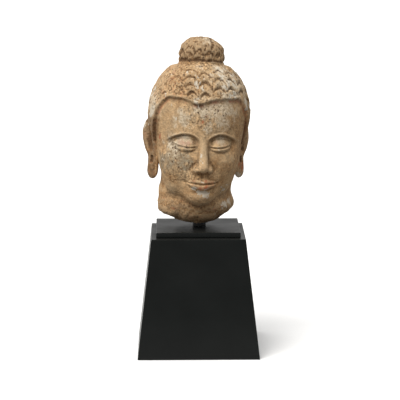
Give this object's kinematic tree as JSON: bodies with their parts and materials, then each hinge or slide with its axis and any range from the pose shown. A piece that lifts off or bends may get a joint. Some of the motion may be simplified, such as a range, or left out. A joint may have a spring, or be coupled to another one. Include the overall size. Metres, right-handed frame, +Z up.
{
  "type": "stucco buddha head on a plinth",
  "caption": "Life-like stucco buddha head with carved locks, a topknot and long ears, held by a steel rod over a stepped, tapered black plinth.",
  "frame": {"origin": "middle of the plinth's underside, on the surface it stands on", "axes": "+Z up, +X to the right of someone who looks at the face, +Y from the face to the back of the head"},
  "size_m": [0.1358, 0.1358, 0.3535],
  "materials": {
    "painted_stucco": "matte lime stucco, worn paint and earth",
    "black_steel": "satin black",
    "black_paint": "satin black paint on board"
  },
  "bodies": {
    "root": {"head": "painted_stucco", "mount_rod": "black_steel", "plinth_board": "black_paint", "plinth_block": "black_paint"}
  },
  "joints": []
}
